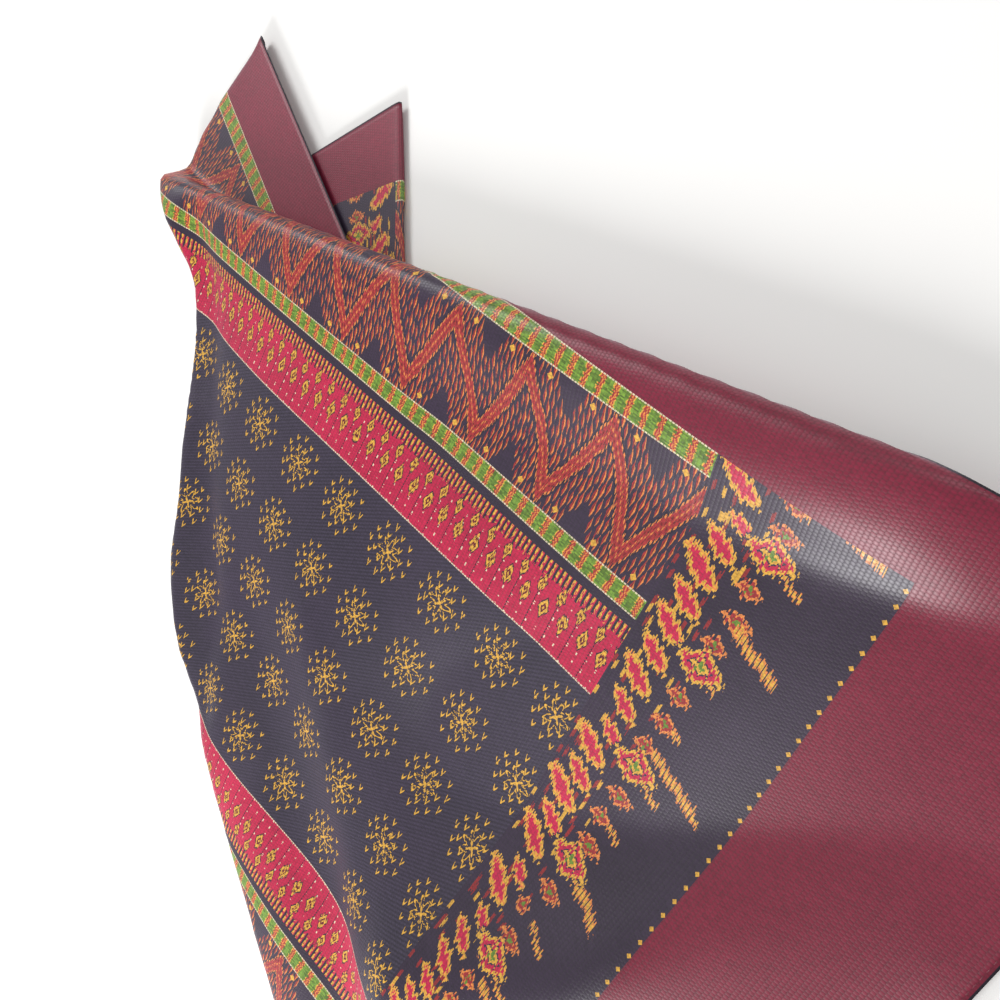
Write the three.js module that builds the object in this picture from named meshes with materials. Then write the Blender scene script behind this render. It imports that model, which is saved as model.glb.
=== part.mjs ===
// An ikat silk shawl, laid on a flat surface in the folds of a wrapped skirt cloth.
// One rectangle of cloth: a fanned front panel, its top border turned under in a tapering tuck,
// the left side folded beneath as a back layer, and the far end brought round again as an inner layer.
// Millimetres, +Z up. Flat cloth is measured along (from the far end) and across (from the top edge).
import * as THREE from "three";

// Cut size and cloth
const LENGTH = 1800;
const WIDTH = 980;
const THICK = 1.2;

// The frame's origin, as a place on the flat front panel
const ORIGIN = { along: 1249.7, across: 486.9 };

// The tuck under the top border: it opens from a point on the left fold
const TUCK = { along: 693, across: 190, slope: 0.21, wedge: THREE.MathUtils.degToRad(13) };

// Resting heights of the middle of each layer, from the surface up
const LEVEL = { back: THICK / 2, inner: 7.6, hem: 10, collar: 13.4, flap: 22.4, front: 29 };

// The fold that goes round the left and lower left, one row for each height across the cloth.
// foldAlong: where the front panel turns under. right and far: where the layer beneath turns back,
// and where the far end lies, each as x and y on the surface.
const SECTIONS = [
  { across: 0, foldAlong: 663, rightX: 1002, rightY: 12, farX: 790, farY: -192 },
  { across: 190, foldAlong: 693, rightX: 1112, rightY: -142, farX: 862, farY: -285 },
  { across: 289, foldAlong: 806, rightX: 1190, rightY: -230, farX: 925, farY: -400 },
  { across: 482, foldAlong: 908, rightX: 1350, rightY: -380, farX: 1012, farY: -560 },
  { across: 600, foldAlong: 965, rightX: 1460, rightY: -460, farX: 1085, farY: -640 },
  { across: 719, foldAlong: 1124, rightX: 1540, rightY: -480, farX: 1235, farY: -700 },
  { across: 827, foldAlong: 1318, rightX: 1600, rightY: -420, farX: 1400, farY: -785 },
  { across: 980, foldAlong: 1590, rightX: 1640, rightY: -330, farX: 1570, farY: -870 },
];

// How far the back layer's rows sag between its two folds
const BACK_SAG = 130;

// Soft ridges and troughs of the front panel: a line on the flat cloth from one end to the other,
// how far the wave reaches each side of it, and its height (negative for a trough)
const WAVES = [
  { name: "roll", fromAlong: 660, fromAcross: 215, toAlong: 1700, toAcross: 2, reach: 62, height: 24 },
  { name: "roll hollow", fromAlong: 1240, fromAcross: 190, toAlong: 1790, toAcross: 95, reach: 52, height: -9 },
  { name: "end valley", fromAlong: 1760, fromAcross: 90, toAlong: 1400, toAcross: 430, reach: 85, height: -17 },
  { name: "end ridge", fromAlong: 1790, fromAcross: 300, toAlong: 1500, toAcross: 650, reach: 80, height: 44 },
  { name: "field swell", fromAlong: 1010, fromAcross: 330, toAlong: 1420, toAcross: 560, reach: 120, height: 10 },
  { name: "side ridge", fromAlong: 765, fromAcross: 235, toAlong: 1010, toAcross: 640, reach: 34, height: 11 },
  { name: "side crease", fromAlong: 800, fromAcross: 230, toAlong: 1085, toAcross: 660, reach: 30, height: -12 },
  { name: "lower ridge", fromAlong: 1080, fromAcross: 640, toAlong: 1500, toAcross: 850, reach: 60, height: 13 },
  { name: "lower trough", fromAlong: 1130, fromAcross: 560, toAlong: 1560, toAcross: 780, reach: 60, height: -10 },
];

// The front panel comes down over this far: to the surface at its near end, to the hem's height at its
// lower edge
const SETTLE = { end: 260, lower: 170 };
// No trough of the front panel goes deeper than this below its resting height
const TROUGH_LIMIT = -6;
// Folds are rounded by averaging the sharply folded cloth over this far
const SOFTEN = 11;
const SOFTEN_STEPS = 3;

// Facets: columns and rows between the folds, and closer ones this far each side of a fold
const COLUMNS = { inner: 7, rightFold: 4, back: 8, leftFold: 4, front: 30 };
const ROWS = { collar: 3, valley: 4, flap: 2, ridge: 4, body: 23 };
const FOLD_REACH = 16;

const lerp = THREE.MathUtils.lerp;
const smooth = THREE.MathUtils.smoothstep;

// One named column of the sections table at a given height across the cloth, as a smooth curve
function section(column, across) {
  const last = SECTIONS.length - 1;
  let row = 0;
  while (row < last - 1 && across > SECTIONS[row + 1].across) row += 1;
  const slope = (k) => {
    const [above, below] = [SECTIONS[Math.max(k - 1, 0)], SECTIONS[Math.min(k + 1, last)]];
    return (below[column] - above[column]) / (below.across - above.across);
  };
  const [above, below] = [SECTIONS[row], SECTIONS[row + 1]];
  const span = below.across - above.across;
  const t = (across - above.across) / span;
  const bend = slope(row) * (1 - t) - slope(row + 1) * t;
  const lean = ((below[column] - above[column]) / span) * (1 - 2 * t);
  return lerp(above[column], below[column], t) + t * (1 - t) * span * (bend - lean);
}

// The tuck's two crease lines, as heights across the cloth
function ridgeAcross(along) {
  return TUCK.across - TUCK.slope * (along - TUCK.along);
}

function valleyAcross(along) {
  const slope = Math.tan(Math.atan(TUCK.slope) + TUCK.wedge);
  return TUCK.across - slope * (along - TUCK.along);
}

// Height that the soft waves add to the front panel
function waveHeight(along, across) {
  let height = 0;
  for (const wave of WAVES) {
    const run = [wave.toAlong - wave.fromAlong, wave.toAcross - wave.fromAcross];
    const gone = [along - wave.fromAlong, across - wave.fromAcross];
    const squared = run[0] ** 2 + run[1] ** 2;
    const share = THREE.MathUtils.clamp((gone[0] * run[0] + gone[1] * run[1]) / squared, 0, 1);
    const away = Math.hypot(gone[0] - share * run[0], gone[1] - share * run[1]);
    height += wave.height * Math.exp(-((away / wave.reach) ** 2));
  }
  return height;
}

// Height of the front panel's middle over the surface
function frontHeight(along, across) {
  const fromEnd = smooth(LENGTH - along, 0, SETTLE.end);
  const fromLower = smooth(WIDTH - across, 0, SETTLE.lower);
  const middle = lerp(LEVEL.hem, LEVEL.front, fromLower);
  const base = lerp(LEVEL.back, middle, fromEnd);
  const wave = waveHeight(along, across) * Math.min(1, 0.2 + fromEnd);
  return base + Math.max(wave, TROUGH_LIMIT * fromEnd * fromLower);
}

// The front layer with its tuck, creased sharply
function frontPlace(along, across) {
  const right = along - TUCK.along;
  const down = across - TUCK.across;
  if (across >= ridgeAcross(along)) {
    return [along, -across, frontHeight(along, across)];
  }
  if (across >= valleyAcross(along)) {
    const tilt = -2 * Math.atan(TUCK.slope);
    const x = right * Math.cos(tilt) + down * Math.sin(tilt);
    const y = right * Math.sin(tilt) - down * Math.cos(tilt);
    return [TUCK.along + x, -(TUCK.across + y), LEVEL.flap];
  }
  const turn = 2 * TUCK.wedge;
  const x = right * Math.cos(turn) - down * Math.sin(turn);
  const y = right * Math.sin(turn) + down * Math.cos(turn);
  return [TUCK.along + x, -(TUCK.across + y), LEVEL.collar];
}

// Any point of the flat cloth, on the sharply folded shawl
function foldedPlace(along, across) {
  const foldAlong = section("foldAlong", across);
  if (along >= foldAlong) return frontPlace(along, across);
  const turnAlong = foldAlong / 2;
  const right = [section("rightX", across), section("rightY", across)];
  if (along >= turnAlong) {
    const left = frontPlace(foldAlong, across);
    const share = (foldAlong - along) / (foldAlong - turnAlong);
    const sag = BACK_SAG * (1 - across / WIDTH) * 4 * share * (1 - share);
    return [lerp(left[0], right[0], share), lerp(left[1], right[1], share) - sag, LEVEL.back];
  }
  const share = (turnAlong - along) / turnAlong;
  const far = [section("farX", across), section("farY", across)];
  return [lerp(right[0], far[0], share), lerp(right[1], far[1], share), LEVEL.inner];
}

// The same point with every fold rounded, as a weighted average of its neighbourhood
function softPlace(along, across) {
  const place = new THREE.Vector3();
  let total = 0;
  for (let i = -SOFTEN_STEPS; i <= SOFTEN_STEPS; i += 1) {
    for (let j = -SOFTEN_STEPS; j <= SOFTEN_STEPS; j += 1) {
      const weight = Math.exp(-(i * i + j * j) / SOFTEN_STEPS);
      const step = (1.6 * SOFTEN) / SOFTEN_STEPS;
      const sample = foldedPlace(along + i * step, across + j * step);
      place.addScaledVector(new THREE.Vector3(...sample), weight);
      total += weight;
    }
  }
  place.divideScalar(total);
  return place.sub(new THREE.Vector3(ORIGIN.along, -ORIGIN.across, 0));
}

// The cloth's face direction, from the slopes along and across it
function faceNormal(along, across) {
  const step = 2;
  const slopeAlong = softPlace(along + step, across).sub(softPlace(along - step, across));
  const slopeAcross = softPlace(along, across + step).sub(softPlace(along, across - step));
  return slopeAcross.cross(slopeAlong).normalize();
}

// Grid lines run along the folds: a place in 0..1 becomes a place between fold positions
function stationList(counts) {
  const list = [];
  counts.forEach((count, span) => {
    for (let k = 0; k < count; k += 1) list.push({ span, share: k / count });
  });
  list.push({ span: counts.length - 1, share: 1 });
  return list;
}

function between(stops, station) {
  return lerp(stops[station.span], stops[station.span + 1], station.share);
}

function gridPoint(column, row) {
  const reach = FOLD_REACH;
  let across = between([0, 30, 60, 90, 120, WIDTH], row);
  let along = 0;
  for (let pass = 0; pass < 6; pass += 1) {
    const fold = section("foldAlong", across);
    along = between([0, fold / 2 - reach, fold / 2 + reach, fold - reach, fold + reach, LENGTH], column);
    const valley = THREE.MathUtils.clamp(valleyAcross(along), 20, 150);
    const ridge = THREE.MathUtils.clamp(ridgeAcross(along), valley + 48, 200);
    across = between([0, valley - reach, valley + reach, ridge - reach, ridge + reach, WIDTH], row);
  }
  return [along, across];
}

// A closed sheet: the face, the reverse and a rim that joins them all round
function clothGeometry() {
  const columns = stationList(Object.values(COLUMNS));
  const rows = stationList(Object.values(ROWS));
  const positions = [];
  for (const side of [0.5, -0.5]) {
    for (const column of columns) {
      for (const row of rows) {
        const [along, across] = gridPoint(column, row);
        const place = softPlace(along, across);
        place.addScaledVector(faceNormal(along, across), side * THICK);
        positions.push(place.x, place.y, place.z);
      }
    }
  }
  const sheet = columns.length * rows.length;
  const at = (i, j, reverse) => i * rows.length + j + (reverse ? sheet : 0);
  const faces = [];
  const quad = (a, b, c, d) => faces.push(a, b, c, a, c, d);
  for (let i = 0; i + 1 < columns.length; i += 1) {
    for (let j = 0; j + 1 < rows.length; j += 1) {
      quad(at(i, j, 0), at(i, j + 1, 0), at(i + 1, j + 1, 0), at(i + 1, j, 0));
      quad(at(i, j, 1), at(i + 1, j, 1), at(i + 1, j + 1, 1), at(i, j + 1, 1));
    }
  }
  const rim = [];
  for (let i = 0; i + 1 < columns.length; i += 1) rim.push([i, 0]);
  for (let j = 0; j + 1 < rows.length; j += 1) rim.push([columns.length - 1, j]);
  for (let i = columns.length - 1; i > 0; i -= 1) rim.push([i, rows.length - 1]);
  for (let j = rows.length - 1; j > 0; j -= 1) rim.push([0, j]);
  rim.forEach(([i, j], k) => {
    const [m, n] = rim[(k + 1) % rim.length];
    quad(at(i, j, 0), at(m, n, 0), at(m, n, 1), at(i, j, 1));
  });
  const geometry = new THREE.BufferGeometry();
  geometry.setAttribute("position", new THREE.Float32BufferAttribute(positions, 3));
  geometry.setIndex(faces);
  geometry.computeVertexNormals();
  return geometry;
}

// Jacquard-woven silk, dark plum as the eye averages its pattern
const silk = new THREE.MeshStandardMaterial({ color: 0x4a2a3a, roughness: 0.55, metalness: 0 });

const shawl = new THREE.Mesh(clothGeometry(), silk);
shawl.name = "shawl_cloth";

const object = new THREE.Group();
object.add(shawl);

export default object;
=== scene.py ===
"""An ikat silk shawl, laid in the folds of its wrap, seen from above."""
import ast
import math

import bpy
import numpy as np
from mathutils import Matrix, Quaternion, Vector


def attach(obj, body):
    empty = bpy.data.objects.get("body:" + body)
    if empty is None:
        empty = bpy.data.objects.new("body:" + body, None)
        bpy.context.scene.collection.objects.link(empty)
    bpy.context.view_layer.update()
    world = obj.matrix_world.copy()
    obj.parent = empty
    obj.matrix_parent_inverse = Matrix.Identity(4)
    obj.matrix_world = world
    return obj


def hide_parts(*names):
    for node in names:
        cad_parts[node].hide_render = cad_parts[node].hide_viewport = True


bl_info = {
    "name": "Ikat Silk Shawl",
    "version": (1, 0, 0),
    "blender": (4, 5, 0),
    "location": "3D View > Sidebar > Shawl",
    "description": "Weaves, folds and hems an ikat silk shawl and lights it on a pale floor",
    "category": "Object",
}

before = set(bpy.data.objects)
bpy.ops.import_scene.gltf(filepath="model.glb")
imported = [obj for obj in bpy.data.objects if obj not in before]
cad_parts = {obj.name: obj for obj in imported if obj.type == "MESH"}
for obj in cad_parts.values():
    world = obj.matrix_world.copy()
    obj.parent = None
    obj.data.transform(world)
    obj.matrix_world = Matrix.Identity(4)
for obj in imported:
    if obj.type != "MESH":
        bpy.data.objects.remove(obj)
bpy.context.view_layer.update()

MM = 0.001

# Flat cloth is measured in millimetres, along from its far end and across from its top edge.
# These sizes and tables repeat the solid's own.
LENGTH, WIDTH = 1800.0, 980.0
ORIGIN = (1249.7, 486.9)
TUCK_ALONG, TUCK_ACROSS, TUCK_SLOPE, TUCK_WEDGE = 693.0, 190.0, 0.21, math.radians(13)
LEVEL = {"back": 0.6, "inner": 7.6, "hem": 10.0, "collar": 13.4, "flap": 22.4, "front": 29.0}
SECTION_COLUMNS = ("across", "fold_along", "right_x", "right_y", "far_x", "far_y")
SECTIONS = np.array([
    (0, 663, 1002, 12, 790, -192),
    (190, 693, 1112, -142, 862, -285),
    (289, 806, 1190, -230, 925, -400),
    (482, 908, 1350, -380, 1012, -560),
    (600, 965, 1460, -460, 1085, -640),
    (719, 1124, 1540, -480, 1235, -700),
    (827, 1318, 1600, -420, 1400, -785),
    (980, 1590, 1640, -330, 1570, -870),
], float)
BACK_SAG = 130.0
# Soft ridges and troughs: from along, from across, to along, to across, reach, height
WAVES = {
    "roll": (660, 215, 1700, 2, 62, 24),
    "roll hollow": (1240, 190, 1790, 95, 52, -9),
    "end valley": (1760, 90, 1400, 430, 85, -17),
    "end ridge": (1790, 300, 1500, 650, 80, 44),
    "field swell": (1010, 330, 1420, 560, 120, 10),
    "side ridge": (765, 235, 1010, 640, 34, 11),
    "side crease": (800, 230, 1085, 660, 30, -12),
    "lower ridge": (1080, 640, 1500, 850, 60, 13),
    "lower trough": (1130, 560, 1560, 780, 60, -10),
}
# Drape of the thin silk over the solid's own waves, in the same columns
DRAPE = {
    "end pleat": (1795, 560, 1640, 800, 50, 9),
    "field pucker": (900, 400, 1180, 640, 26, 3),
    "field pucker low": (1180, 470, 1480, 720, 24, 4),
    "roll pucker": (1250, 120, 1650, 60, 22, 3),
}
SETTLE_END, SETTLE_LOWER, TROUGH_LIMIT = 260.0, 170.0, -6.0
# How far folds are rounded, in millimetres, over how many samples each way, and the samples' spread
SOFTEN, SOFTEN_STEPS, SOFTEN_SPREAD = 11.0, 3, 1.6


def linear(hex_colour):
    """An sRGB hex colour as linear red, green, blue."""
    channels = [int(hex_colour[i:i + 2], 16) / 255 for i in (1, 3, 5)]
    return [c / 12.92 if c <= 0.04045 else ((c + 0.055) / 1.055) ** 2.4 for c in channels]


# Settings that a user would change


def colour(name, hex_colour, about):
    """A colour property with its sRGB default."""
    return bpy.props.FloatVectorProperty(
        name=name, description=about, subtype="COLOR", size=3, min=0, max=1, default=linear(hex_colour))


class ShawlCloth(bpy.types.PropertyGroup):
    """Sizes of the woven cloth."""
    grid: bpy.props.FloatProperty(
        name="Grid", description="Spacing of the mesh on the flat cloth", subtype="DISTANCE",
        unit="LENGTH", default=6.2 * MM)
    thick: bpy.props.FloatProperty(
        name="Thickness", description="Thickness of the silk", subtype="DISTANCE", unit="LENGTH",
        default=0.6 * MM)
    hem: bpy.props.FloatProperty(
        name="Hem", description="Depth of the narrow end hems", subtype="DISTANCE", unit="LENGTH",
        default=4 * MM)
    stitch: bpy.props.FloatProperty(
        name="Stitch spacing", description="Spacing of the hem's stitches", subtype="DISTANCE",
        unit="LENGTH", default=7 * MM)


class ShawlColours(bpy.types.PropertyGroup):
    """Dyed yarn colours."""
    burgundy: colour("Burgundy", "#74142f", "Plain edge bands and end panels")
    crimson: colour("Crimson", "#b81a44", "Flowered band beside the field")
    plum: colour("Plum", "#33263a", "Ground of the zigzag bands and end strips")
    night: colour("Night", "#302b3a", "Ground of the flowered field")
    brick: colour("Brick", "#97292c", "Zigzags and ladder bars")
    gold: colour("Gold", "#d3a03c", "Flower darts and feathered edges")
    orange: colour("Orange", "#d5803f", "Zigzag edges")
    leaf: colour("Leaf green", "#62802c", "Ladder stripes")
    pale: colour("Pale line", "#dccdb0", "Thin lines beside the stripes")
    floor: colour("Floor", "#f6f5f3", "Pale studio floor")


# The folded cloth


def smooth(value, low, high):
    """Smoothstep of an array."""
    t = np.clip((value - low) / (high - low), 0, 1)
    return t * t * (3 - 2 * t)


def section(column, across):
    """One named column of the sections table, as a smooth curve over the cloth's width."""
    x, y = SECTIONS[:, 0], SECTIONS[:, SECTION_COLUMNS.index(column)]
    last = len(x) - 1
    k = np.arange(last + 1)
    above, below = np.maximum(k - 1, 0), np.minimum(k + 1, last)
    slope = (y[below] - y[above]) / (x[below] - x[above])
    row = np.clip(np.searchsorted(x, across, side="left") - 1, 0, last - 1)
    span, rise = x[row + 1] - x[row], y[row + 1] - y[row]
    t = (across - x[row]) / span
    bend = slope[row] * (1 - t) - slope[row + 1] * t - rise / span * (1 - 2 * t)
    return y[row] + rise * t + t * (1 - t) * span * bend


def ridge_across(along):
    """Where the tuck's outer crease lies."""
    return TUCK_ACROSS - TUCK_SLOPE * (along - TUCK_ALONG)


def valley_across(along):
    """Where the tuck's hidden crease lies."""
    return TUCK_ACROSS - math.tan(math.atan(TUCK_SLOPE) + TUCK_WEDGE) * (along - TUCK_ALONG)


def front_height(along, across):
    """Height of the front panel, with its soft waves, over the surface."""
    waves = 0
    for a, b, c, d, reach, height in (*WAVES.values(), *DRAPE.values()):
        run, fall = c - a, d - b
        share = np.clip(((along - a) * run + (across - b) * fall) / (run * run + fall * fall), 0, 1)
        away = (along - a - share * run) ** 2 + (across - b - share * fall) ** 2
        waves = waves + height * np.exp(-away / reach**2)
    from_end = smooth(LENGTH - along, 0, SETTLE_END)
    from_lower = smooth(WIDTH - across, 0, SETTLE_LOWER)
    middle = LEVEL["hem"] + (LEVEL["front"] - LEVEL["hem"]) * from_lower
    base = LEVEL["back"] + (middle - LEVEL["back"]) * from_end
    return base + np.maximum(waves * np.minimum(1, 0.2 + from_end), TROUGH_LIMIT * from_end * from_lower)


def front_place(along, across):
    """The front layer with its tuck, creased sharply."""
    right, down = along - TUCK_ALONG, across - TUCK_ACROSS
    tilt, turn = -2 * math.atan(TUCK_SLOPE), 2 * TUCK_WEDGE
    panel = np.stack([along, -across, front_height(along, across)], -1)
    flap = np.stack([
        TUCK_ALONG + right * math.cos(tilt) + down * math.sin(tilt),
        -(TUCK_ACROSS + right * math.sin(tilt) - down * math.cos(tilt)),
        np.full_like(along, LEVEL["flap"])], -1)
    collar = np.stack([
        TUCK_ALONG + right * math.cos(turn) - down * math.sin(turn),
        -(TUCK_ACROSS + right * math.sin(turn) + down * math.cos(turn)),
        np.full_like(along, LEVEL["collar"])], -1)
    above_valley = (across < valley_across(along))[..., None]
    above_ridge = (across < ridge_across(along))[..., None]
    return np.where(above_ridge, np.where(above_valley, collar, flap), panel)


def folded_place(along, across):
    """Any point of the flat cloth on the sharply folded shawl."""
    fold = section("fold_along", across)
    turn = fold / 2
    left = front_place(fold, across)[..., :2]
    right = np.stack([section("right_x", across), section("right_y", across)], -1)
    far = np.stack([section("far_x", across), section("far_y", across)], -1)
    share = (fold - along) / (fold - turn)
    sag = BACK_SAG * (1 - across / WIDTH) * 4 * share * (1 - share)
    back = left + (right - left) * share[..., None]
    back = np.stack([back[..., 0], back[..., 1] - sag, np.full_like(along, LEVEL["back"])], -1)
    inner = right + (far - right) * ((turn - along) / turn)[..., None]
    inner = np.concatenate([inner, np.full_like(along, LEVEL["inner"])[..., None]], -1)
    beneath = np.where((along >= turn)[..., None], back, inner)
    return np.where((along >= fold)[..., None], front_place(along, across), beneath)


def soft_place(along, across):
    """The same with every fold rounded, in metres in the frame."""
    step = SOFTEN_SPREAD * SOFTEN / SOFTEN_STEPS
    total, place = 0.0, 0.0
    for i in range(-SOFTEN_STEPS, SOFTEN_STEPS + 1):
        for j in range(-SOFTEN_STEPS, SOFTEN_STEPS + 1):
            weight = math.exp(-(i * i + j * j) / SOFTEN_STEPS)
            place = place + weight * folded_place(along + i * step, across + j * step)
            total += weight
    return (place / total - (ORIGIN[0], -ORIGIN[1], 0)) * MM


# Nodes and materials


def add(tree, kind, inputs, output=0, **settings):
    """Adds one node, sets its settings, links or sets its inputs and returns an output."""
    node = tree.nodes.new(kind)
    for key, value in settings.items():
        setattr(node, key, value)
    for key, value in inputs.items():
        if isinstance(value, bpy.types.NodeSocket):
            tree.links.new(value, node.inputs[key])
        else:
            node.inputs[key].default_value = value
    return node.outputs[output] if node.outputs else node


OPERATIONS = {
    ast.Add: "ADD", ast.Sub: "SUBTRACT", ast.Mult: "MULTIPLY", ast.Div: "DIVIDE", ast.Mod: "FLOORED_MODULO",
    ast.Pow: "POWER", ast.Lt: "LESS_THAN", ast.Gt: "GREATER_THAN",
    "abs": "ABSOLUTE", "floor": "FLOOR", "fract": "FRACT", "min": "MINIMUM", "max": "MAXIMUM", "sin": "SINE",
    "cos": "COSINE", "sqrt": "SQRT", "atan2": "ARCTAN2", "random": "RANDOM",
}


def formula(tree, text, **names):
    """Turns a formula of named sockets and numbers into a chain of nodes and returns its value."""
    def build(part):
        if isinstance(part, ast.Constant):
            return part.value
        if isinstance(part, ast.Name):
            return names[part.id]
        if isinstance(part, ast.BinOp):
            operation, terms = OPERATIONS[type(part.op)], [part.left, part.right]
        elif isinstance(part, ast.Compare):
            operation, terms = OPERATIONS[type(part.ops[0])], [part.left, part.comparators[0]]
        else:
            operation, terms = OPERATIONS[part.func.id], part.args
        values = dict(enumerate(build(term) for term in terms))
        if operation == "RANDOM":
            return add(tree, "ShaderNodeTexWhiteNoise", {"W": values[0]}, noise_dimensions="1D")
        return add(tree, "ShaderNodeMath", values, operation=operation)
    return build(ast.parse(text, mode="eval").body)


# The ikat's named repeats and widths, in millimetres
REPEAT = {
    "width": WIDTH, "length": LENGTH, "thread_width": 1.1, "ladder": 15.0, "zigzag": 90.0, "dart": 4.5,
    "diamond": 22.0, "flower": 75.2, "flame": 25.0, "crest": 100.0, "dot": 13.0, "rib": 3.4,
    "float_along": 3.6, "float_across": 2.8, "stripes_end": 318.0, "strip_end": 170.0, "field_edge": 302.0,
}

# Numbers in these formulas are millimetres too, or shares of a repeat.
# Where things lie on the flat cloth, each a formula of the ones before it and of a, along, and c, across.
# Threads are drawn 1.1 mm wide and the weave's floats 3 mm apart, coarser than silk, so that they show.
PLACES = {
    "edge": "min(c, width - c)",
    "end": "min(a, length - a)",
    "body": "end > stripes_end",
    "thread": "random(floor(a / thread_width))",
    "fibre": "random(floor(c / thread_width) * 17.3 + floor(a / 4) * 3.1)",
    # The dye of each thread is a little off its place, which feathers every motif
    "dyed": "edge + (thread - 0.5) * 5",
    "shift": "c + (thread - 0.5) * 6",
    "bar": "abs((a + (fibre - 0.5) * 2.4) % ladder - ladder / 2)",
    # Zigzag line, and the upright darts that step with it in columns
    "wave": "abs(a / zigzag % 1 * 2 - 1)",
    "line": "abs(dyed - 108 - wave * 88)",
    "dash": "a / 2.8 % 1 < 0.62",
    "column": "floor(a / dart) * dart + dart / 2",
    "wander": "random(column)",
    "row": "abs(dyed - 108 - abs(column / zigzag % 1 * 2 - 1) * 88) + (wander - 0.5) * 5",
    "nest": "(row > 17) * (row < 68)",
    "stroke": "abs(a - column) / (1.2 + wander * 0.6) + abs(row % 17 - 8.5) / (5.2 + wander * 2.6)",
    "star_high": "abs(abs(a % zigzag - zigzag / 2) - 22) + abs(edge - 104)",
    "star_low": "abs(abs((a + zigzag / 2) % zigzag - zigzag / 2) - 22) + abs(edge - 200)",
    # Crimson band
    "diamond_big": "abs((a + diamond / 2) % diamond - diamond / 2) * 1.75 + abs(dyed - 272)",
    "diamond_small": "abs(a % diamond - diamond / 2) * 1.75 + abs(dyed - 255)",
    "tooth": "abs(a % 5.5 - 2.75)",
    "tooth_step": "abs((dyed + floor(a / 5.5) * 4) % 8 - 4)",
    "fleck": "(abs((a + 4) % 11 - 5.5) < 0.7) * (abs(edge % 9 - 4.5) < 1.6) * (fibre > 0.5)",
    # Field flowers about their own centres
    "twill": "abs((a * 0.55 + c * 0.83) / rib % 1 - 0.5)",
    "x": "a % flower - flower / 2",
    "y": "(c - field_edge + (thread - 0.5) * 2) % flower - flower / 2",
    "radius": "sqrt(x * x + y * y)",
    "turn": "atan2(y, x) / 6.28318",
    "petal": "abs(radius - 10 - cos(turn * 50.26544) * 3.6)",
    "cross": "min(abs(x - y), abs(x + y)) + max(radius - 6, 0)",
    # End strip
    "lean": "shift + (end - 288) * 0.45",
    "lot": "random(floor(lean / flame))",
    "reach": "(end - 284 - lot * 14) / (13 + lot * 10)",
    "tongue": "abs(lean % flame - flame / 2) / (7 + lot * 4) + reach * reach",
    "bead": "abs((shift + flame / 2) % flame - flame / 2) / 8 + abs(end - 264 + lot * 14) / (8 + lot * 8)",
    "crest_near": "abs((shift + 30) % crest - crest / 2) / 15 + abs(end - 256) / 24",
    "drip": "abs((shift + (end - 250) * 0.3) % 50 - 25)",
    "drip_on": "(drip < 2.6) * (end > 222 + lot * 22) * (end < 248) * (end / 4.2 % 1 < 0.8)",
    "finger": "abs((shift + (end - 250) * 0.3) % 120 - 60)",
    "finger_on": "(finger < 4.6) * (end > 184 + lot * 22) * (end < 250) * (end / 4.2 % 1 < 0.8)",
    "sprinkle": "random(floor(a / 3) * 13.7 + floor(shift / 8) * 5.3) * (end > 262)",
    "bead_line": "abs(c % dot - dot / 2) + abs(end - 172)",
    # Bird's-eye weave
    "float_x": "a / float_along % 1 - 0.5",
    "float_y": "(c / float_across + floor(a / float_along) * 0.5) % 1 - 0.5",
    "weave": "float_x * float_x + float_y * float_y",
}

# Each band from its ground up: a yarn, its strength, and where it shows, from 0 to 1
LADDER = (
    ("leaf", 0.7, "1"),
    ("leaf", 1.4, "fibre"),
    ("gold", 1.0, "(bar < 3.3) * (fibre > 0.35)"),
    ("brick", 1.1, "bar < 2.1"),
    ("orange", 1.0, "bar < 0.6"),
)
ZIGZAG = (
    ("plum", 0.75, "1"),
    ("plum", 1.2, "slub"),
    ("orange", 0.95, "nest * (stroke < 1.3) * (a > column)"),
    ("brick", 1.0, "nest * (stroke < 1) * (a < column + 0.55)"),
    ("brick", 0.55, "nest * (stroke < 0.4)"),
    ("plum", 0.6, "line < 16"),
    ("orange", 1.0, "(line < 13.5) * dash"),
    ("brick", 1.1, "line < 10.5"),
    ("brick", 0.5, "(abs(line - 5) < 1.3) * dash"),
    ("orange", 0.9, "(line < 1.3) * dash"),
    ("gold", 1.0, "min(star_high, star_low) < 3.4"),
)
CRIMSON_BAND = (
    ("crimson", 0.75, "1"),
    ("crimson", 1.15, "slub"),
    ("plum", 0.5, "(abs(a % diamond - diamond / 2) < 0.5) * (edge / 3 % 1 < 0.7) * (edge > 256)"),
    ("pale", 0.9, "fleck * (edge > 256)"),
    ("plum", 0.6, "(diamond_big < 11) + (diamond_small < 9.5)"),
    ("gold", 1.0, "(diamond_big < 9) + (diamond_small < 7.5)"),
    ("crimson", 0.25, "(diamond_big < 5) + (diamond_small < 4)"),
    ("gold", 1.0, "(diamond_big < 2) + (diamond_small < 1.7)"),
    ("plum", 0.7, "(dyed < 247) * (abs((a + 2) % 5.5 - 2.75) < 1.3)"),
    ("gold", 1.0, "(dyed < 246) * (tooth < 1.1) * (tooth_step < 2.7)"),
)
FLOWER = (
    ("night", 0.5, "1"),
    ("night", 1.5, "twill * 1.9"),
    ("plum", 1.5, "slub * 0.45"),
    ("night", 0.3, "(petal < 2.3) * (fibre > 0.2)"),
    ("gold", 1.0, "(petal < 1.3) * (fibre > 0.22)"),
    ("gold", 1.0, "cross < 1.4"),
)
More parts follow.
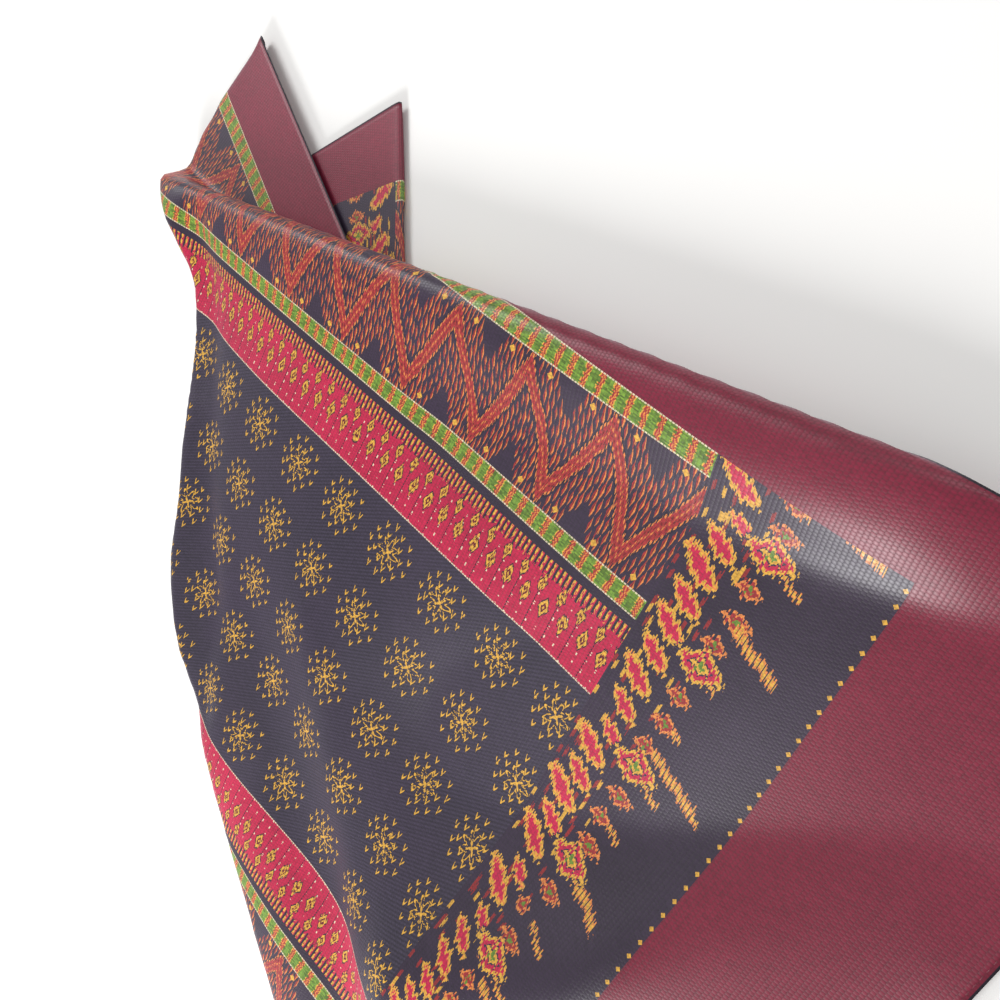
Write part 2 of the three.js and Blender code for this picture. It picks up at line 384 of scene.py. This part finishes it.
# Rings of ticks round each flower, each two strokes that meet: how many, radius, offset, half width, height
TICK_RINGS = ((9, 17.0, 0.5, 2.1, 4.6), (13, 26.0, 0.0, 1.9, 4.2))
END_STRIP = (
    ("plum", 0.6, "1"),
    ("plum", 1.2, "slub"),
    ("brick", 0.8, "sprinkle > 0.88"),
    ("gold", 0.9, "sprinkle > 0.95"),
    ("gold", 1.0, "tongue < 1"),
    ("orange", 1.0, "(tongue < 0.85) * (fibre > 0.6)"),
    ("crimson", 1.0, "tongue < 0.55"),
    ("orange", 1.0, "bead < 1"),
    ("brick", 1.0, "bead < 0.7"),
    ("leaf", 1.0, "bead < 0.3"),
    ("orange", 1.0, "max(drip_on, finger_on)"),
    ("gold", 1.0, "max(drip_on * (drip < 1.3), finger_on * (finger < 2.3))"),
    ("plum", 1.0, "crest_near < 1.12"),
    ("gold", 1.0, "crest_near < 1"),
    ("crimson", 1.0, "crest_near < 0.78"),
    ("plum", 1.0, "crest_near < 0.5"),
    ("gold", 1.0, "crest_near < 0.4"),
    ("leaf", 1.0, "crest_near < 0.22"),
    ("gold", 1.0, "bead_line < 2.2"),
)
BURGUNDY_EDGE = (
    ("burgundy", 0.85, "1"),
    ("burgundy", 1.15, "slub"),
)
# Woven bands and where each lies, laid in this order
BANDS = (
    (BURGUNDY_EDGE, "1"),
    (END_STRIP, "(edge > 76) * (end > strip_end)"),
    ((("plum", 0.8, "1"),), "(edge > 76) * body"),
    (LADDER, "((abs(edge - 86) < 10) + (abs(edge - 217) < 9)) * body"),
    (ZIGZAG, "(abs(edge - 152) < 56) * body"),
    (CRIMSON_BAND, "(abs(edge - 268) < 34) * body"),
    (FLOWER, "(edge > field_edge) * body"),
)
# Pale threads beside the ladders and the field, as distances from the edge
PALE_THREADS = (76.5, 95.5, 208.5, 225.5, 301.5)


def tick_ring(count, place, offset, wide, tall):
    """The formula of one ring of ticks, each a little astray in its own sector of the ring."""
    sector = f"(floor(turn * {count} + {offset}) + 0.5 - {offset}) * {math.tau / count}"
    stray = f"{place} + (random(({sector}) * 7.7) - 0.5) * 7"
    x = f"abs(x - cos({sector}) * ({stray}))"
    y = f"y - sin({sector}) * ({stray})"
    return f"abs({y} + {x} * {tall / wide} - {tall / 2}) / 1.5 + max({x} - {wide}, 0) * 3"


def ikat_silk(yarn):
    """Jacquard-woven ikat silk: a satin lustre, dotted and ribbed by the weave, with dyed motifs whose edges
    feather along the threads."""
    material = bpy.data.materials.new("ikat_silk")
    material.use_nodes = True
    tree = material.node_tree
    tree.nodes.clear()
    uv = add(tree, "ShaderNodeUVMap", {}, uv_map="cloth")
    flat = add(tree, "ShaderNodeSeparateXYZ", {0: uv}).node
    slub = add(tree, "ShaderNodeTexNoise", {"Vector": uv, "Scale": 9.0, "Detail": 3.0}, noise_dimensions="2D")
    names = {**REPEAT, "slub": slub}
    for name, output in (("a", 0), ("c", 1)):
        names[name] = formula(tree, f"v * {1 / MM}", v=flat.outputs[output])
    for name, text in PLACES.items():
        names[name] = formula(tree, text, **names)
    flower = list(FLOWER)
    for number, ring in enumerate(TICK_RINGS):
        names[f"tick_{number}"] = formula(tree, tick_ring(*ring), **names)
        flower += [("night", 0.3, f"tick_{number} < 1.6"), ("gold", 1.0, f"tick_{number} < 1")]

    def dye(below, name, strength, where):
        tint = (*[min(1.0, c * strength) for c in getattr(yarn, name)], 1.0)
        mask = formula(tree, where, **names)
        return add(tree, "ShaderNodeMix", {0: mask, 6: below, 7: tint}, output=2, data_type="RGBA")

    silk = (0.0, 0.0, 0.0, 1.0)
    for motifs, where in BANDS:
        band = silk
        for motif in flower if motifs is FLOWER else motifs:
            band = dye(band, *motif)
        place = formula(tree, where, **names)
        silk = add(tree, "ShaderNodeMix", {0: place, 6: silk, 7: band}, output=2, data_type="RGBA")
    for place in PALE_THREADS:
        silk = dye(silk, "pale", 0.9, f"(abs(edge - {place}) < 0.6) * (a / 3 % 1 < 0.75) * body")
    silk = dye(silk, "plum", 0.4, "min(edge, end) < 1.6")
    tone = formula(tree, "1.2 - weave * 1.2 + (fibre - 0.5) * 0.3", **names)
    silk = add(tree, "ShaderNodeMix", {0: 1.0, 6: silk, 7: tone}, output=2, data_type="RGBA",
               blend_type="MULTIPLY")
    rough = formula(tree, "0.34 + weave * 0.35 + slub * 0.1", **names)
    height = formula(tree, "0.5 - weave - twill * 0.2", **names)
    bump = add(tree, "ShaderNodeBump", {"Height": height, "Strength": 0.4, "Distance": 0.6 * MM})
    shader = add(tree, "ShaderNodeBsdfPrincipled", {
        "Base Color": silk, "Roughness": rough, "Normal": bump, "IOR": 1.54, "Sheen Weight": 0.12,
        "Sheen Roughness": 0.35, "Sheen Tint": (0.9, 0.8, 1.0, 1.0), "Anisotropic": 0.3})
    add(tree, "ShaderNodeOutputMaterial", {"Surface": shader})
    return material


# The thread's twist, drawn 5 mm long, coarser than spun, so that it shows; its grooves are painted shade,
# darker stripes of the thread's own colour
THREAD_TWIST = 5.03 * MM


def hem_thread(yarn):
    """Twisted silk sewing thread: its fine ridges painted as lighter and darker stripes of painted shade, a
    little shiny.
    """
    material = bpy.data.materials.new("silk_sewing_thread")
    material.use_nodes = True
    tree = material.node_tree
    tree.nodes.clear()
    place = add(tree, "ShaderNodeTexCoord", {}, output=3)
    # A wave texture at scale 1 repeats 20 times in a circle's length, 2 pi
    twist_shade = add(tree, "ShaderNodeTexWave", {"Vector": place, "Scale": math.tau / 20 / THREAD_TWIST}, output=1)
    # Painted shade: the burgundy at full and at 0.55 strength, darker in the twist's grooves
    shade = [(*[c * k for c in yarn.burgundy], 1.0) for k in (0.55, 1.0)]
    tint = add(tree, "ShaderNodeMix", {0: twist_shade, 6: shade[0], 7: shade[1]}, output=2, data_type="RGBA")
    shader = add(tree, "ShaderNodeBsdfPrincipled", {
        "Base Color": tint, "Roughness": formula(tree, "0.4 + w * 0.2", w=twist_shade), "IOR": 1.54,
        "Sheen Weight": 0.3})
    add(tree, "ShaderNodeOutputMaterial", {"Surface": shader})
    return material


def pale_floor(paint):
    """Matt studio paint: even, with a faint roller mottle."""
    material = bpy.data.materials.new("matt_floor_paint")
    material.use_nodes = True
    tree = material.node_tree
    tree.nodes.clear()
    place = add(tree, "ShaderNodeTexCoord", {}, output=3)
    mottle = add(tree, "ShaderNodeTexNoise", {"Vector": place, "Scale": 6.0, "Detail": 2.0})
    shade = [(*[c * k for c in paint.floor], 1.0) for k in (0.98, 1.0)]
    tint = add(tree, "ShaderNodeMix", {0: mottle, 6: shade[0], 7: shade[1]}, output=2, data_type="RGBA")
    shader = add(tree, "ShaderNodeBsdfPrincipled", {"Base Color": tint, "Roughness": 0.85})
    add(tree, "ShaderNodeOutputMaterial", {"Surface": shader})
    return material


# Operators


class SHAWL_OT_cloth(bpy.types.Operator):
    """Weave the shawl and lay it in its folds"""
    bl_idname = "shawl.cloth"
    bl_label = "Lay the Cloth"

    def execute(self, context):
        size = context.scene.shawl_cloth
        columns = round(LENGTH * MM / size.grid) + 1
        rows = round(WIDTH * MM / size.grid) + 1
        along, across = np.meshgrid(
            np.linspace(0, LENGTH, columns), np.linspace(0, WIDTH, rows), indexing="ij")
        points = soft_place(along, across).reshape(-1, 3)
        index = np.arange(columns * rows).reshape(columns, rows)
        faces = np.stack([index[:-1, :-1], index[:-1, 1:], index[1:, 1:], index[1:, :-1]], -1).reshape(-1, 4)
        mesh = bpy.data.meshes.new("shawl")
        mesh.from_pydata(points.tolist(), [], faces.tolist())
        loops = faces.reshape(-1)
        flat = np.stack([along.reshape(-1)[loops], across.reshape(-1)[loops]], -1) * MM
        mesh.uv_layers.new(name="cloth").data.foreach_set("uv", flat.reshape(-1).astype(np.float32))
        mesh.shade_smooth()
        mesh.materials.append(ikat_silk(context.scene.shawl_colours))
        shawl = bpy.data.objects.new("shawl", mesh)
        context.collection.objects.link(shawl)
        wall = shawl.modifiers.new("cloth thickness", "SOLIDIFY")
        wall.thickness = size.thick
        wall.offset = 0
        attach(shawl, "root")
        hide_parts("shawl_cloth")
        return {"FINISHED"}


# Half a stitch's length as a share of the stitches' spacing, its radius in metres, and the points and
# side margin, in millimetres, of a hem line
STITCH_SHARE, STITCH_RADIUS = 0.3, 0.25 * MM
HEM_POINTS, HEM_MARGIN = 160, 6.0


def stitch_tree(material):
    """Geometry nodes that sew short stitches along a hem line."""
    tree = bpy.data.node_groups.new("hem stitches", "GeometryNodeTree")
    tree.interface.new_socket("Geometry", in_out="INPUT", socket_type="NodeSocketGeometry")
    for name in ("Spacing", "Length"):
        tree.interface.new_socket(name, in_out="INPUT", socket_type="NodeSocketFloat")
    tree.interface.new_socket("Geometry", in_out="OUTPUT", socket_type="NodeSocketGeometry")
    given = add(tree, "NodeGroupInput", {}).node
    path = add(tree, "GeometryNodeMeshToCurve", {"Mesh": given.outputs["Geometry"]})
    path = add(tree, "GeometryNodeResampleCurve", {"Curve": path, "Length": given.outputs["Spacing"]},
               mode="LENGTH")
    tangent = add(tree, "GeometryNodeInputTangent", {})
    turn = add(tree, "FunctionNodeAlignRotationToVector", {"Vector": tangent}, axis="Z")
    stitch = add(tree, "GeometryNodeMeshUVSphere", {"Segments": 6, "Rings": 4, "Radius": 1.0})
    size = add(tree, "ShaderNodeCombineXYZ", {0: STITCH_RADIUS, 1: STITCH_RADIUS, 2: given.outputs["Length"]})
    sewn = add(tree, "GeometryNodeInstanceOnPoints", {
        "Points": path, "Instance": stitch, "Rotation": turn, "Scale": size})
    real = add(tree, "GeometryNodeRealizeInstances", {"Geometry": sewn})
    done = add(tree, "GeometryNodeSetMaterial", {"Geometry": real, "Material": material})
    tree.links.new(done, tree.nodes.new("NodeGroupOutput").inputs[0])
    return tree


class SHAWL_OT_hem(bpy.types.Operator):
    """Sew the stitched lines of the narrow hems along both ends"""
    bl_idname = "shawl.hem"
    bl_label = "Sew the Hem"

    def execute(self, context):
        size = context.scene.shawl_cloth
        hem_depth = size.hem / MM
        across = np.linspace(HEM_MARGIN, WIDTH - HEM_MARGIN, HEM_POINTS)
        points, edges = [], []
        for along in (hem_depth, LENGTH - hem_depth):
            line = soft_place(np.full_like(across, along), across) + (0, 0, size.thick / 2)
            edges += [(len(points) + i, len(points) + i + 1) for i in range(len(line) - 1)]
            points += line.tolist()
        path = bpy.data.meshes.new("hem lines")
        path.from_pydata(points, edges, [])
        hem = bpy.data.objects.new("hem_stitches", path)
        context.collection.objects.link(hem)
        thread = hem_thread(context.scene.shawl_colours)
        sewing = hem.modifiers.new("stitches", "NODES")
        sewing.node_group = stitch_tree(thread)
        inputs = sewing.node_group.interface.items_tree
        for name, value in (("Spacing", size.stitch), ("Length", size.stitch * STITCH_SHARE)):
            sewing[inputs[name].identifier] = value
        context.view_layer.update()
        mesh = bpy.data.meshes.new_from_object(hem.evaluated_get(context.evaluated_depsgraph_get()))
        hem.modifiers.clear()
        hem.data = mesh
        mesh.shade_smooth()
        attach(hem, "root")
        return {"FINISHED"}


# The camera's place and what it looks at: along, across and height, in millimetres, and its roll. The
# lens is as long as the sensor is wide.
CAMERA_PLACE, CAMERA_TARGET = (1768.0, -95.0, 666.0), (1323.1, 224.3, 29.0)
CAMERA_ROLL, CAMERA_LENS = math.radians(-91.47), 36.0
# Lights aimed at the cloth's middle: name, place and width in metres, power in watts
LIGHTS = (
    ("key", (0.6, -1.8, 1.1), 0.9, 58),
    ("side", (-1.7, 0.9, 1.5), 1.2, 26),
    ("back", (0.4, 2.0, 1.4), 1.2, 10),
)
WORLD_STRENGTH = 0.4
# The floor's side and how far it lies under the cloth, in metres
FLOOR_SIDE, FLOOR_DROP = 30.0, 0.5 * MM


def in_frame(along, across, height):
    """A place over the flat front panel, in metres in the frame."""
    return Vector((along - ORIGIN[0], ORIGIN[1] - across, height)) * MM


class SHAWL_OT_stage(bpy.types.Operator):
    """Set the pale floor, the soft lights and the camera"""
    bl_idname = "shawl.stage"
    bl_label = "Set the Stage"

    def execute(self, context):
        bpy.ops.mesh.primitive_plane_add(size=FLOOR_SIDE, location=(0, 0, -FLOOR_DROP))
        floor = context.object
        floor.name = "floor"
        floor.data.materials.append(pale_floor(context.scene.shawl_colours))
        for name, place, across, power in LIGHTS:
            lamp = bpy.data.lights.new(name, "AREA")
            lamp.shape, lamp.size, lamp.energy = "DISK", across, power
            light = bpy.data.objects.new(name, lamp)
            light.location = place
            light.rotation_euler = (-light.location).to_track_quat("-Z", "Y").to_euler()
            context.collection.objects.link(light)
        world = bpy.data.worlds.new("studio")
        context.scene.world = world
        world.use_nodes = True
        world.node_tree.nodes["Background"].inputs[0].default_value = (1, 1, 1, 1)
        world.node_tree.nodes["Background"].inputs[1].default_value = WORLD_STRENGTH
        lens = bpy.data.cameras.new("camera")
        lens.lens, lens.sensor_width = CAMERA_LENS, CAMERA_LENS
        lens.clip_start = 0.01
        camera = bpy.data.objects.new("camera", lens)
        place, target = in_frame(*CAMERA_PLACE), in_frame(*CAMERA_TARGET)
        aim = (place - target).to_track_quat("Z", "Y") @ Quaternion((0, 0, 1), CAMERA_ROLL)
        camera.matrix_world = Matrix.Translation(place) @ aim.to_matrix().to_4x4()
        context.collection.objects.link(camera)
        context.scene.camera = camera
        context.scene.view_settings.view_transform = "Standard"
        return {"FINISHED"}


class SHAWL_PT_panel(bpy.types.Panel):
    """The shawl's settings and steps"""
    bl_label = "Ikat Silk Shawl"
    bl_space_type = "VIEW_3D"
    bl_region_type = "UI"
    bl_category = "Shawl"

    def draw(self, context):
        for group in (context.scene.shawl_cloth, context.scene.shawl_colours):
            for key in group.__annotations__:
                self.layout.prop(group, key)
        for operator in (SHAWL_OT_stage, SHAWL_OT_cloth, SHAWL_OT_hem):
            self.layout.operator(operator.bl_idname)


CLASSES = (ShawlCloth, ShawlColours, SHAWL_OT_stage, SHAWL_OT_cloth, SHAWL_OT_hem, SHAWL_PT_panel)


def register():
    """Registers the classes and the scene's settings."""
    for item in CLASSES:
        bpy.utils.register_class(item)
    bpy.types.Scene.shawl_cloth = bpy.props.PointerProperty(type=ShawlCloth)
    bpy.types.Scene.shawl_colours = bpy.props.PointerProperty(type=ShawlColours)


def unregister():
    """Takes them away again."""
    del bpy.types.Scene.shawl_colours
    del bpy.types.Scene.shawl_cloth
    for item in reversed(CLASSES):
        bpy.utils.unregister_class(item)


def main():
    """Builds the scene."""
    register()
    bpy.ops.shawl.stage()
    bpy.ops.shawl.cloth()
    bpy.ops.shawl.hem()


if __name__ == "__main__":
    main()
